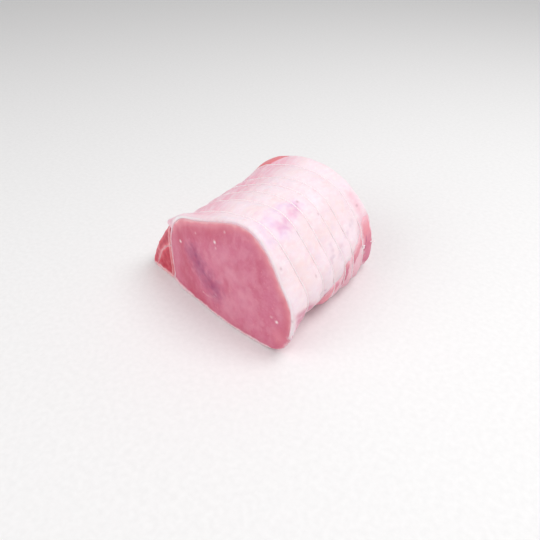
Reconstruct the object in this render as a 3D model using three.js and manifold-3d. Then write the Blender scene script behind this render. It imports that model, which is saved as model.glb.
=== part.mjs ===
// A short boneless pork roast, tied with six loops of string and cut square at both ends.
//
// The roast lies along Y with the shown cut face at -Y, +X to its right and +Z up.
// Its solids are lofts: a slice of the meat is drawn in x and z, and the same slice is repeated
// at stations along the length. A slice is not square to Y: it is skewed and it leans, as a roast
// does once its strings have been pulled tight.
//
// Four tissues run through the whole length. The eye muscle is the large one. The side muscle and
// the flap muscle lie against its left side. The fat cap covers the top and the right side, turns
// down at the fat corner, and ends as a thin blade of white seam between eye and side muscle.
//
// All sizes are in millimetres.

import * as THREE from 'three';
import { mergeVertices } from 'three/addons/utils/BufferGeometryUtils.js';
import Module from 'manifold-3d';

const wasm = await Module();
wasm.setup();

// ---------------------------------------------------------------- driving dimensions

const LENGTH = 105.5;            // from cut face to cut face, along the underside
const STRING_STATIONS = [23.2, 39.2, 50.6, 62.4, 73.6, 92.5];
const STRING_RADIUS = 0.5;
const STRING_SIDES = 6;
const KNOT = [1.5, 1.3, 1.1];    // half sizes: along the string, across it, and outwards
const KNOT_ANGLE = 155;          // the knots lie on the left side, in degrees from the right
const LAST_KNOT_ANGLE = 8;       // but the rear one is on the right side
const GAP = 0.3;                 // left between pieces that touch
const LEDGE = 0.4;               // the bare lean stops this far short of the fat's lower edge

// The tails of a knot, as points from its middle: along the string, across it, and outwards.
const TAILS = [
  [[0, 0, 0], [2.2, 1.2, 0.5], [5.5, 2, 0.9]],
  [[0, 0, 0], [2, -1.4, 0.6], [4.6, -3, 1.1]],
];
const LAST_TAILS = [
  [[0, 0, 0], [1.2, 1.8, 0.4], [2, 4.6, 1.6]],
  [[0, 0, 0], [-1, 2, 0.4], [-3.6, 3.6, 0.8]],
];

const SKEW = 0.16;               // a slice comes forward this much for each mm to the right
// How far a slice leans back for each mm up, as [station, lean]: the string loops lean forward.
const LEAN = [[0, 0.087], [STRING_STATIONS[0], -0.13], [75, -0.13], [LENGTH, -0.1]];
const CROWN_FRONT = 5;           // how far the middle of the shown cut face stands out
const CROWN_REAR = 4;
const CROWN_SIZE = [50, 72];     // half its width, and its height
const CROWN_DEPTH = 14;          // the crown has faded out this far behind the face

const GROOVE_BELOW = 1.9;        // the strings press this deep into the underside
const GROOVE_ABOVE = 1.1;        // and this deep into the sides and the back
const GROOVE_TURN = [2, 14];     // heights between which the one turns into the other
const GROOVE_REACH = 5.5;        // the surface is back at full height this far to each side
const LIFT_FADE = [1, 12];       // heights between which the underside's grooves fade out
const EDGE_ROUND = 0.9;          // the cut edges are rounded by this much
const UNEVEN = 0.55;             // height of the soft unevenness of the outside

const FAT = 2.2;                 // thickness of the fat cap
const FAT_AT_FACE = 0.55;        // at the shown cut it is thinned to this share
const FAT_FULL_FROM = 12;        // and it has its full thickness this far behind the cut
const FAT_AT_EDGE = 0.9;         // its thickness where it runs out at the lower right
const FAT_TAPER = 1.6;           // it has grown to its full thickness this far along the outline
const FAT_AT_CORNER = 1.2;       // it is thicker by this much at the fat corner
const FAT_SQUEEZE = 0.25;        // how much of a groove's depth is taken up by thinner fat
const SEAM = 0.8;                // thickness of the white seam

// The strings pull the fat corner in by this much, in x and z, between these stations at each end.
const SHOULDER_DIP = [2, -5];
const DIP_STARTS = [2, 16];
const DIP_ENDS = [80, 95];

// Outline of a slice: from the right foot up the right side, over the back, to the fat corner.
// The front outline holds for most of the length and turns into the rear one past REAR_FROM.
const BACK = [
  [40, 0], [49, 2.2], [56.5, 10], [59, 24], [57.6, 38], [49, 50], [41.5, 60.5],
  [33, 68], [20, 71], [3, 67.5], [-15, 60], [-36, 52], [-50.5, 42.5],
];
const BACK_AT_REAR = [
  [40, 0], [49, 1.5], [54, 10], [56, 23], [52, 36], [46.5, 46.5], [38.5, 54],
  [30, 60.5], [17, 64.5], [0, 65], [-15, 62], [-35, 53], [-49.5, 39.5],
];
const REAR_FROM = 66;
const CORNER = BACK.length - 1;

// The right foot is drawn in behind the shown face, then a flap of meat stands out: [station, by].
const FOOT = [[0, 0], [7, -3.4], [14, -5.5], [32, -7.2], [45, -7.5], [51, 0], [LENGTH, 0]];
const FOOT_HEIGHT = 3.6;         // the drawing in has faded out this far along the outline

// The lower edge of the fat cap climbs towards the rear: [station, place along BACK].
const FAT_EDGE = [
  [0, 2.5], [10, 2.15], [30, 2.15], [38, 2.6], [47, 3.1], [58, 3.15], [65, 3.65], [72, 3.6],
  [76, 3.9], [87, 4.15], [95, 4.55], [105.5, 4.6],
];

// The seam between eye and side muscle, below its top, and the left side of the flap muscle.
const SEAM_PATH = [[-48.7, 26], [-47.3, 14], [-44.8, 0.5]];
const SEAM_TOP = [2.3, -5];      // from the fat corner to the top of the seam
const LIP = [4.2, -2.4];         // from the fat corner to the eye muscle's own corner
const FLAP_SIDE = [[-58.2, 27.6], [-63.8, 19.5], [-68, 11.5], [-71, 5], [-70.5, 0.6]];
const FLAP_TOP = 0.45;           // the flap starts this share of the way down the lip
const MEMBRANE = [[-59.3, 15.8], [-63.2, 7.6], [-65.5, 0.6]];
const FORK_STEP = [-4, -2.6];    // the membrane's first step away from the seam
const THIN_TOP = [-0.7, 0.1];    // muscles that end in a thin top are this wide there

// How finely the slices are placed and drawn.
const FACE_STATION = 7;          // the last slice before a cut face's rounded edge
const GROOVE_SLICES = [-1, -0.45, 0, 0.45, 1];   // as shares of the groove's reach
const CLOSEST = 1;               // slices nearer than this to each other become one
const BACK_STEPS = 21;
const EXPOSED_STEPS = 3;
const BASE_STEPS = 7;
const SMOOTH_STEPS = 60;
const SEAM_LEVELS = [0.9, 0.77, 0.64, 0.54, 0.41, 0.22, 0.013];   // heights, as shares of its top
const FLAP_LEVELS = [0, 0.15, 0.3, 0.44, 0.55, 0.72, 0.88, 1];    // from its top to its foot
const FLAP_THIN = 3;             // its first points, too thin there to be pressed in fully
const FORK = 3;                  // the point below the lip where the membrane leaves the seam
const FACE_RINGS = [0.8, 0.55, 0.28];   // sizes of the rings on the eye muscle's cut faces
const FACE_CENTRE = [15, 16];    // no ring folds, as every corner of both outlines is seen from here

const EYE_COLOUR = 0xcd6f88;
const SIDE_COLOUR = 0xc04a58;
const FLAP_COLOUR = 0xcf6468;
const FAT_COLOUR = 0xfbe6e9;
const STRING_COLOUR = 0xf6efee;

// ---------------------------------------------------------------- slices in space

const { lerp, smoothstep } = THREE.MathUtils;

// Straight-line reading of a list of [station, value] pairs.
function between(pairs, v) {
  const next = pairs.findIndex(([station]) => station >= v);
  if (next <= 0) {
    return pairs.at(next)[1];
  }
  const [v0, a] = pairs[next - 1];
  const [v1, b] = pairs[next];
  return lerp(a, b, (v - v0) / (v1 - v0));
}

function crown(x, z) {
  return Math.max(0, 1 - (x / CROWN_SIZE[0]) ** 2) * Math.max(0, 1 - (z / CROWN_SIZE[1]) ** 2);
}

// The y of a slice's point, at station v.
function depth(x, z, v) {
  const front = Math.max(0, 1 - v / CROWN_DEPTH);
  const rear = Math.max(0, 1 - (LENGTH - v) / CROWN_DEPTH);
  return v - SKEW * x + between(LEAN, v) * z + crown(x, z) * (CROWN_REAR * rear - CROWN_FRONT * front);
}

function inSpace([x, z], v) {
  return new THREE.Vector3(x, depth(x, z, v), z);
}

// How far the strings press the surface in, measured by the true distance from each loop.
function groove(x, z, v) {
  let pressed = 0;
  for (const station of STRING_STATIONS) {
    const away = Math.abs(depth(x, z, v) - depth(x, z, station)) / GROOVE_REACH;
    pressed = Math.max(pressed, away < 1 ? (1 - away ** 2) ** 2 : 0);
  }
  return pressed * lerp(GROOVE_BELOW, GROOVE_ABOVE, smoothstep(z, ...GROOVE_TURN));
}

function roundedEdge(v) {
  return v === 0 || v === LENGTH ? EDGE_ROUND : 0;
}

// Soft unevenness of the outside, k being the place along the outline.
function uneven(k, v) {
  return UNEVEN * (Math.sin(1.7 * k + 0.21 * v) * Math.sin(0.9 * k - 0.16 * v + 1) - 0.2);
}

// ---------------------------------------------------------------- outlines of one slice

function backOutline(v) {
  const dip = smoothstep(v, ...DIP_STARTS) * (1 - smoothstep(v, ...DIP_ENDS));
  const rear = smoothstep(v, REAR_FROM, LENGTH);
  const points = BACK.map(([x, z], i) => {
    const [rearX, rearZ] = BACK_AT_REAR[i];
    const shoulder = Math.max(0, 1 - (CORNER - i) / 2) * dip;
    const foot = Math.max(0, 1 - i / FOOT_HEIGHT) * between(FOOT, v);
    return new THREE.Vector2(
      lerp(x, rearX, rear) + SHOULDER_DIP[0] * shoulder + foot,
      lerp(z, rearZ, rear) + SHOULDER_DIP[1] * shoulder,
    );
  });
  return new THREE.SplineCurve(points);
}

function moved([x, z], [dx, dz], amount = 1) {
  return [x + dx * amount, z + dz * amount];
}

// The height of the underside: nothing, but for the rounded ends and where a string passes.
function underside(x, v) {
  return groove(x, 0, v) + roundedEdge(v);
}

// A point of the back or the right side with its relief, and the outline's normal there.
function onOutside(curve, k, v) {
  const t = k / CORNER;
  const { x, y: z } = curve.getPoint(t);
  const tangent = curve.getTangent(t);
  const normal = [tangent.y, -tangent.x];
  const relief = uneven(k, v) * smoothstep(k, 0.5, 3) - groove(x, z, v) - roundedEdge(v);
  const point = moved([x, z], normal, relief);
  return { point: [point[0], Math.max(point[1], underside(x, v))], normal };
}

// A line through points, read at given heights from its top to its foot.
function levelsOf(points, heights) {
  return heights.map((z) => {
    const after = points.findIndex(([, pz], i) => i > 0 && (pz <= z || i === points.length - 1));
    const [x0, z0] = points[after - 1];
    const [x1, z1] = points[after];
    return [lerp(x0, x1, (z0 - z) / (z0 - z1)), z];
  });
}

function smoothLine(points) {
  const curve = new THREE.SplineCurve(points.map(([x, z]) => new THREE.Vector2(x, z)));
  return curve.getPoints(SMOOTH_STEPS).map((p) => [p.x, p.y]);
}

// A low point, lifted as the underside is.
function lifted([x, z], v) {
  return [x, z + underside(x, v) * (1 - smoothstep(z, ...LIFT_FADE))];
}

// A line moved to the left of its own direction, by an amount that may differ from point to point.
function beside(points, amount) {
  const side = points.slice(1).map(([x, z], i) => {
    const [x0, z0] = points[i];
    return new THREE.Vector2(z0 - z, x - x0).normalize();
  });
  return points.map((p, i) => {
    const before = side[Math.max(0, i - 1)];
    const after = side[Math.min(i, side.length - 1)];
    const mitre = before.clone().add(after).divideScalar(1 + before.dot(after));
    return moved(p, mitre.toArray(), typeof amount === 'function' ? amount(p, i) : amount);
  });
}

function blend([x0, z0], [x1, z1], share) {
  return [lerp(x0, x1, share), lerp(z0, z1, share)];
}

// The fat cap: a strip from its lower right edge over the back, round the corner and down the seam.
function fatStrip(curve, edge, v) {
  const strip = { outer: [], inner: [] };
  for (let i = 0; i < BACK_STEPS; i += 1) {
    const k = lerp(edge, CORNER, i / BACK_STEPS);
    const { point, normal } = onOutside(curve, k, v);
    const grown = smoothstep(k - edge, 0, FAT_TAPER);
    const squeezed = FAT_SQUEEZE * groove(...point, v) * grown;
    const corner = FAT_AT_CORNER * smoothstep(k, CORNER - 1, CORNER);
    const full = FAT * lerp(FAT_AT_FACE, 1, smoothstep(v, 0, FAT_FULL_FROM));
    const thick = lerp(FAT_AT_EDGE, full, grown) + corner - squeezed;
    strip.outer.push(point);
    strip.inner.push(moved(point, normal, -thick));
  }
  const { point: tip } = onOutside(curve, CORNER, v);
  const seamTop = moved(tip, SEAM_TOP);
  const heights = SEAM_LEVELS.map((share) => share * seamTop[1]);
  const seam = levelsOf(smoothLine([seamTop, ...SEAM_PATH]), heights).map((p) => lifted(p, v));
  const left = beside(seam, -SEAM / 2);
  const right = beside(seam, SEAM / 2);
  const lip = moved(tip, LIP);
  strip.outer.push(tip, blend(tip, left[0], FLAP_TOP), ...left);
  strip.inner.push(lip, blend(lip, right[0], FLAP_TOP), ...right);
  return strip;
}

// The eye muscle: bare at the lower right and below, and everywhere else under the fat and the seam.
function eyeLoop(curve, edge, fat, v) {
  const exposed = [];
  for (let i = 0; i < EXPOSED_STEPS; i += 1) {
    exposed.push(onOutside(curve, (edge * i) / EXPOSED_STEPS, v).point);
  }
  const { point, normal } = onOutside(curve, edge, v);
  const ledge = moved(point, [normal[1], -normal[0]], LEDGE);
  exposed.push(ledge, moved(ledge, normal, -FAT_AT_EDGE - GAP));

  const covered = beside(fat.inner, GAP).slice(1);
  const foot = lifted([covered.at(-1)[0], 0], v);
  const base = [];
  for (let i = 0; i < BASE_STEPS; i += 1) {
    base.push(lifted([lerp(foot[0], exposed[0][0], i / BASE_STEPS), 0], v));
  }
  return [...exposed, ...covered, ...base];
}

// The side muscle, between seam and membrane, and the flap muscle outside them both.
function leftStrips(fat, v) {
  const seamLeft = fat.outer.slice(BACK_STEPS + 1);
  const inner = beside(seamLeft, -GAP).slice(FORK);
  const fork = moved(inner[0], THIN_TOP);
  const membrane = smoothLine([fork, moved(fork, FORK_STEP), ...MEMBRANE]);
  const heights = inner.slice(1, -1).map(([, z]) => z);
  const outer = [fork, ...levelsOf(membrane, heights), lifted(MEMBRANE.at(-1), v)];

  const flapInner = beside([...seamLeft.slice(0, FORK), ...outer], -GAP);
  const flapTop = moved(flapInner[0], THIN_TOP);
  const foot = FLAP_SIDE.at(-1)[1];
  const flapHeights = FLAP_LEVELS.map((share) => lerp(flapTop[1], foot, share));
  const flapOuter = levelsOf(smoothLine([flapTop, ...FLAP_SIDE]), flapHeights)
    .map((p) => lifted(p, v));
  const pressed = ([x, z], i) => (groove(x, z, v) + roundedEdge(v)) * Math.min(1, i / FLAP_THIN);

  // The side muscle stands on the board between its two lower corners.
  inner[inner.length - 1] = lifted([inner.at(-1)[0], 0], v);
  const side = { outer: [...outer.slice(0, -1), lifted([outer.at(-1)[0], 0], v)], inner };
  return { side, flap: { outer: beside(flapOuter, pressed), inner: flapInner } };
}

// All outlines of the slice at station v.
function sliceAt(v) {
  const curve = backOutline(v);
  const edge = between(FAT_EDGE, v);
  const fat = fatStrip(curve, edge, v);
  return { v, fat, eye: eyeLoop(curve, edge, fat, v), ...leftStrips(fat, v) };
}

// ---------------------------------------------------------------- solids

function solid(points, triangles) {
  const geometry = new THREE.BufferGeometry();
  geometry.setAttribute('position', new THREE.Float32BufferAttribute(points.flatMap((p) => p.toArray()), 3));
  geometry.setIndex(triangles.flat());
  return geometry;
}

function quad(a, b, c, d, turned = false) {
  return turned ? [[a, b, d], [b, c, d]] : [[a, b, c], [a, c, d]];
}

// Walls between loops of equal size, each loop running anticlockwise seen from the front.
// From the point turnedFrom on, a loop runs back, and its quads are split along the other
// diagonal, so that two pieces that touch are faceted alike.
function walls(loops, size, turnedFrom) {
  const triangles = [];
  for (let j = 0; j < loops - 1; j += 1) {
    for (let i = 0; i < size; i += 1) {
      const next = (i + 1) % size;
      const near = j * size;
      const far = near + size;
      triangles.push(...quad(near + i, far + i, far + next, near + next, i >= turnedFrom));
    }
  }
  return triangles;
}

// A solid from strips: each slice has an outer and an inner line with as many points.
function stripLoft(slices, name) {
  const size = slices[0][name].outer.length;
  const points = slices.flatMap(({ v, [name]: strip }) =>
    [...strip.outer, ...strip.inner.toReversed()].map((p) => inSpace(p, v)));
  const triangles = walls(slices.length, 2 * size, size);
  const last = (slices.length - 1) * 2 * size;
  for (let i = 0; i < size - 1; i += 1) {
    const cap = [i, i + 1, 2 * size - 2 - i, 2 * size - 1 - i];
    triangles.push(...quad(...cap));
    triangles.push(...quad(...cap.toReversed().map((n) => n + last)));
  }
  return solid(points, triangles);
}

// The eye muscle: closed loops, and cut faces drawn as rings round a centre.
function ringLoft(slices, name) {
  const size = slices[0][name].length;
  const points = slices.flatMap(({ v, [name]: loop }) => loop.map((p) => inSpace(p, v)));
  const triangles = walls(slices.length, size, size);
  for (const front of [true, false]) {
    const { v, [name]: loop } = front ? slices[0] : slices.at(-1);
    let outer = front ? 0 : (slices.length - 1) * size;
    for (const share of [...FACE_RINGS, 0]) {
      const inner = points.length;
      const ring = share === 0 ? [FACE_CENTRE] : loop.map(([x, z]) =>
        [lerp(FACE_CENTRE[0], x, share), lerp(FACE_CENTRE[1], z, share)]);
      points.push(...ring.map((p) => inSpace(p, v)));
      for (let i = 0; i < size; i += 1) {
        const next = (i + 1) % size;
        const face = share === 0 ? [[outer + i, outer + next, inner]]
          : quad(outer + i, outer + next, inner + next, inner + i);
        triangles.push(...face.map((t) => (front ? t : t.toReversed())));
      }
      outer = inner;
    }
  }
  return solid(points, triangles);
}

// ---------------------------------------------------------------- strings

const LEAST_TURN = 0.02;         // in square mm

function turn(o, a, b) {
  return (a[0] - o[0]) * (b[1] - o[1]) - (a[1] - o[1]) * (b[0] - o[0]);
}

// Convex hull, anticlockwise, without the points that hardly turn it.
function hullOf(points) {
  const sorted = points.toSorted((a, b) => a[0] - b[0] || a[1] - b[1]);
  const chain = (list) => list.reduce((kept, p) => {
    while (kept.length > 1 && turn(kept.at(-2), kept.at(-1), p) <= LEAST_TURN) {
      kept.pop();
    }
    return [...kept, p];
  }, []);
  return [...chain(sorted).slice(0, -1), ...chain(sorted.toReversed()).slice(0, -1)];
}

// A taut loop round the slice at station v: the hull moved out, corner by corner.
function tautLoop(v) {
  const { fat, eye, side, flap } = sliceAt(v);
  const hull = hullOf([...fat.outer, ...eye, ...side.outer, ...side.inner, ...flap.outer]);
  const away = STRING_RADIUS / Math.cos(Math.PI / STRING_SIDES) + GAP;
  const normals = hull.map((p, i) => {
    const q = hull[(i + 1) % hull.length];
    const edge = new THREE.Vector2(q[1] - p[1], p[0] - q[0]);
    return edge.normalize();
  });
  return hull.map((p, i) => {
    const before = normals.at(i - 1);
    const after = normals[i];
    const mitre = before.clone().add(after).divideScalar(1 + before.dot(after));
    return { at: moved(p, mitre.toArray(), away), mitre: mitre.toArray() };
  });
}

// A round string along a line of centres. Outs are the directions that its first side faces.
function tube(centres, outs, closed) {
  const count = centres.length;
  const points = centres.flatMap((centre, i) => {
    const ahead = centres[closed ? (i + 1) % count : Math.min(i + 1, count - 1)];
    const behind = centres.at(closed ? i - 1 : Math.max(i - 1, 0));
    const along = ahead.clone().sub(behind).normalize();
    const across = outs[i].clone().cross(along).normalize();
    return Array.from({ length: STRING_SIDES }, (_, s) => {
      const angle = (2 * Math.PI * s) / STRING_SIDES;
      return centre.clone()
        .addScaledVector(outs[i], STRING_RADIUS * Math.cos(angle))
        .addScaledVector(across, STRING_RADIUS * Math.sin(angle));
    });
  });
  const triangles = [];
  for (let i = 0; i < (closed ? count : count - 1); i += 1) {
    const here = i * STRING_SIDES;
    const there = ((i + 1) % count) * STRING_SIDES;
    for (let s = 0; s < STRING_SIDES; s += 1) {
      const t = (s + 1) % STRING_SIDES;
      triangles.push(...quad(here + s, there + s, there + t, here + t));
    }
  }
  if (!closed) {
    const last = (count - 1) * STRING_SIDES;
    for (let s = 1; s < STRING_SIDES - 1; s += 1) {
      triangles.push([0, s, s + 1], [last, last + s + 1, last + s]);
    }
  }
  return solid(points, triangles);
}

function toManifold(geometry) {
  const bare = geometry.clone();
  bare.deleteAttribute('normal');
  bare.deleteAttribute('uv');
  const merged = mergeVertices(bare, 1e-4);
  return new wasm.Manifold(new wasm.Mesh({
    numProp: 3,
    vertProperties: new Float32Array(merged.attributes.position.array),
    triVerts: new Uint32Array(merged.index.array),
  }));
}

function fromManifold(body) {
  const { vertProperties, triVerts } = body.getMesh();
  const geometry = new THREE.BufferGeometry();
  geometry.setAttribute('position', new THREE.Float32BufferAttribute(vertProperties, 3));
  geometry.setIndex(Array.from(triVerts));
  return geometry;
}

// The loop at station v, with its tails and its knot, which faces the direction given in degrees,
// anticlockwise from the right.
function tiedString(v, knotAngle, tails) {
  const loop = tautLoop(v);
  const centres = loop.map(({ at }) => inSpace(at, v));
  const outs = loop.map(({ mitre: [x, z] }) => new THREE.Vector3(x, 0, z));
  const angle = THREE.MathUtils.degToRad(knotAngle);
  const facing = new THREE.Vector3(Math.cos(angle), 0, Math.sin(angle));
  const score = outs.map((out) => out.clone().normalize().dot(facing));
  const i = score.indexOf(Math.max(...score));
  const out = outs[i].clone().normalize();
  const along = centres[(i + 1) % centres.length].clone().sub(centres.at(i - 1)).normalize();
  const across = out.clone().cross(along).normalize();

  const knotAt = centres[i].clone().addScaledVector(out, KNOT[2] - STRING_RADIUS);
  const knot = new THREE.IcosahedronGeometry(1, 1);
  knot.scale(...KNOT);
  knot.applyMatrix4(new THREE.Matrix4().makeBasis(along, across, out).setPosition(knotAt));
  let body = toManifold(tube(centres, outs, true)).add(toManifold(knot));
  for (const tail of tails) {
    const line = tail.map(([a, c, o]) => knotAt.clone()
      .addScaledVector(along, a)
      .addScaledVector(across, c)
      .addScaledVector(out, o));
    body = body.add(toManifold(tube(line, line.map(() => out), false)));
  }
  return fromManifold(body);
}

// ---------------------------------------------------------------- the roast

// Where the slices are: at both ends, and over each groove. Two that would nearly meet become one.
function stationList() {
  const wanted = [0, EDGE_ROUND, FACE_STATION];
  for (const station of STRING_STATIONS) {
    wanted.push(...GROOVE_SLICES.map((share) => station + share * GROOVE_REACH));
  }
  wanted.push(LENGTH - FACE_STATION, LENGTH - EDGE_ROUND, LENGTH);
  return wanted.reduce((kept, v) => {
    const last = kept.at(-1);
    return v > EDGE_ROUND && v < LENGTH - EDGE_ROUND && v - last < CLOSEST
      ? [...kept.slice(0, -1), (last + v) / 2] : [...kept, v];
  }, []);
}

const slices = stationList().map(sliceAt);

const roast = new THREE.Group();

function add(name, geometry, color, roughness) {
  const material = new THREE.MeshStandardMaterial({ color, roughness, metalness: 0 });
  const mesh = new THREE.Mesh(geometry, material);
  mesh.name = name;
  roast.add(mesh);
}

add('eye_muscle', ringLoft(slices, 'eye'), EYE_COLOUR, 0.4);
add('side_muscle', stripLoft(slices, 'side'), SIDE_COLOUR, 0.4);
add('flap_muscle', stripLoft(slices, 'flap'), FLAP_COLOUR, 0.4);
add('fat_cap', stripLoft(slices, 'fat'), FAT_COLOUR, 0.45);
STRING_STATIONS.forEach((station, i) => {
  const last = i === STRING_STATIONS.length - 1;
  const knot = last ? [LAST_KNOT_ANGLE, LAST_TAILS] : [KNOT_ANGLE, TAILS];
  add(`string_${i + 1}`, tiedString(station, ...knot), STRING_COLOUR, 0.8);
});

// The origin goes to the middle of the underside.
const box = new THREE.Box3().setFromObject(roast);
const middle = box.getCenter(new THREE.Vector3());
roast.position.set(-middle.x, -middle.y, -box.min.z);

export default roast;
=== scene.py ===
# %% [markdown]
# # A raw boneless pork roast, tied with string
#
# The roast is a short length of pork, cut square at both ends. One large pink muscle fills most of
# it. A white fat cap lies over its back and right side and turns down into a thin white seam, and
# beyond the seam lie a small dark muscle and a thin outer flap. Thin cotton string holds it.
#
# The solids of these pieces are loaded first. They have the true size and form, but they are
# faceted. Each is copied, merged and rounded by subdivision, and is then given the fine relief and
# the colours that meat has.

import math

import bmesh
import bpy
import numpy as np
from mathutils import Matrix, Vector, kdtree, noise
from mathutils.bvhtree import BVHTree


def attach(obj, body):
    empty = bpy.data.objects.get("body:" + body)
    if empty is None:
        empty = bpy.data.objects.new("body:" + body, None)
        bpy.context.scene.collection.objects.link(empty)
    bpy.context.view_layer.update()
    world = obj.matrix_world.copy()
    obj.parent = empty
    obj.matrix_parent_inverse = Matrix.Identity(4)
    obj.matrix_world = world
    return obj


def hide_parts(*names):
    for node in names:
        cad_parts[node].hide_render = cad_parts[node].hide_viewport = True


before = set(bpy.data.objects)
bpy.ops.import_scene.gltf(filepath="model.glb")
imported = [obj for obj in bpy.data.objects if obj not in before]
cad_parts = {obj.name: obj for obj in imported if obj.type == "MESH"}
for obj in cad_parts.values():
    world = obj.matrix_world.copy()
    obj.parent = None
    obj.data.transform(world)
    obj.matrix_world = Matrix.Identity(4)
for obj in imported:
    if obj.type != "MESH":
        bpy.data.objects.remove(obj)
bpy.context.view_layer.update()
MM = 0.001
print("solids:", ", ".join(sorted(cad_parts)))

# %% [markdown]
# ## Camera
#
# The picture looks down on the roast from the front, a little to its right, and from close by.
# A camera is its place, the direction that it looks in, and its lens. The place was worked out
# from the roast's own outline, in millimetres from the middle of its underside.

# %% Camera
PICTURE_SIDE = 540
FOCAL_PIXELS = 500
CAMERA_PLACE = Vector((166.5, -220.3, 217.4)) * MM
LOOK_ALONG = Vector((-0.459, 0.628, -0.6285))

camera_data = bpy.data.cameras.new("camera")
camera_data.lens = camera_data.sensor_width * FOCAL_PIXELS / PICTURE_SIDE
camera_data.clip_start = 10 * MM
camera = bpy.data.objects.new("camera", camera_data)
camera.location = CAMERA_PLACE
camera.rotation_euler = LOOK_ALONG.to_track_quat("-Z", "Y").to_euler()
bpy.context.scene.collection.objects.link(camera)
bpy.context.scene.camera = camera
print("lens, mm:", round(camera_data.lens, 2))

# %% [markdown]
# ## Light
#
# Raw meat is photographed under large soft lights, so that it looks moist but has no hard
# highlights. An area light is a soft box: the larger it is, the softer its shadow. The main one
# hangs above the roast, to its right and a little behind, which leaves the fat bright and the cut
# face a step darker. A pale world fills in the rest, and the standard view keeps colours as they
# are.

# %% Soft boxes and a pale world
ROAST_MIDDLE = Vector((0, 0, 30 * MM))
WORLD_STRENGTH = 0.5


def soft_box(name, place, side, watts):
    """A round soft light that is turned to the roast. Its place and side are in metres."""
    data = bpy.data.lights.new(name, "AREA")
    data.shape = "DISK"
    data.size = side
    data.energy = watts
    light = bpy.data.objects.new(name, data)
    light.location = place
    light.rotation_euler = (ROAST_MIDDLE - light.location).to_track_quat("-Z", "Y").to_euler()
    bpy.context.scene.collection.objects.link(light)
    print(name, "is", round((ROAST_MIDDLE - light.location).length, 2), "m away")


soft_box("main_light", place=Vector((0.40, 0.20, 0.86)), side=0.6, watts=4.9)
soft_box("front_light", place=Vector((-0.35, -0.75, 0.60)), side=0.8, watts=2.7)

world = bpy.data.worlds.new("pale_studio")
world.use_nodes = True
sky = world.node_tree.nodes["Background"]
sky.inputs["Color"].default_value = (1, 1, 1, 1)
sky.inputs["Strength"].default_value = WORLD_STRENGTH
bpy.context.scene.world = world
bpy.context.scene.view_settings.view_transform = "Standard"

# %% [markdown]
# ## Where the solids touch
#
# A surface that lies against the next piece can't be seen, and a free one can, so the two are
# treated apart. Each solid is put in a search tree, which finds the nearest place on it quickly.

# %% Distances between the solids
MEAT_NODES = ("eye_muscle", "side_muscle", "flap_muscle", "fat_cap")


def tree_of(node):
    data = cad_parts[node].data
    return BVHTree.FromPolygons([v.co for v in data.vertices], [p.vertices for p in data.polygons])


TREES = {node: tree_of(node) for node in MEAT_NODES}


def near_others(place, node):
    """Distance in mm from a place to the nearest solid other than this one."""
    others = [TREES[other] for other in MEAT_NODES if other != node]
    return min(tree.find_nearest(place)[3] for tree in others) / MM


print("search trees:", len(TREES))

# %% [markdown]
# ## Copying and rounding a solid
#
# The solids come in as loose triangles. A copy is merged by distance, and its triangles are joined
# to four-sided faces, because subdivision rounds those evenly. Subdivision also rounds off every
# edge, so an edge that should stay gets a crease. Where two pieces meet on a cut face the crease
# is full, so that the knife's cut runs level from one to the other, and a free edge is softer.

# %% Copy and round a solid
MERGE_DISTANCE = 0.02      # in mm
JOIN_UP_TO = dict(face_threshold=math.radians(50), shape_threshold=math.radians(60))
SHARP_FOLD = math.radians(40)
TOUCHING = 0.8             # solids nearer than this, in mm, touch on the real roast
FULL_CREASE = 1.0
FREE_CREASE = 0.3


def only(piece):
    """Leaves this piece selected and active, and nothing else."""
    bpy.ops.object.select_all(action="DESELECT")
    piece.select_set(True)
    bpy.context.view_layer.objects.active = piece


def rounded_copy(node, name, levels=2):
    """A merged copy of a solid, rounded by subdivision."""
    piece = bpy.data.objects.new(name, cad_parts[node].data.copy())
    bpy.context.scene.collection.objects.link(piece)
    piece.data.materials.clear()
    only(piece)
    bpy.ops.object.mode_set(mode="EDIT")
    bpy.ops.mesh.select_all(action="SELECT")
    bpy.ops.mesh.customdata_custom_splitnormals_clear()
    bpy.ops.mesh.remove_doubles(threshold=MERGE_DISTANCE * MM)
    bpy.ops.mesh.tris_convert_to_quads(**JOIN_UP_TO)
    mesh = bmesh.from_edit_mesh(piece.data)
    layers = mesh.edges.layers.float
    crease = layers.get("crease_edge") or layers.new("crease_edge")
    for edge in mesh.edges:
        if edge.calc_face_angle(0) > SHARP_FOLD:
            middle = (edge.verts[0].co + edge.verts[1].co) / 2
            edge[crease] = FULL_CREASE if near_others(middle, node) < TOUCHING else FREE_CREASE
    bmesh.update_edit_mesh(piece.data)
    bpy.ops.object.mode_set(mode="OBJECT")
    subdivision = piece.modifiers.new("rounding", "SUBSURF")
    subdivision.levels = subdivision.render_levels = levels
    bpy.ops.object.modifier_apply(modifier=subdivision.name)
    bpy.ops.object.shade_smooth()
    return piece


# %% [markdown]
# Fine relief and colour need small faces, but only where they show: on the cut faces, and on the
# sides that lie free. So the wanted faces that are larger than a given area are selected and
# divided, again and again until none is left.

# %% Divide the faces that show
MOST_ROUNDS = 4
CUT_FACING = 0.7           # a face of a cut points along y at least this much
FREE_SIDE = 1.2            # a face this far, in mm, from all other solids lies free


def on_a_cut(face):
    return abs(face.normal.y) > CUT_FACING


def free_side(node):
    return lambda face: near_others(face.calc_center_median(), node) > FREE_SIDE


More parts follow.
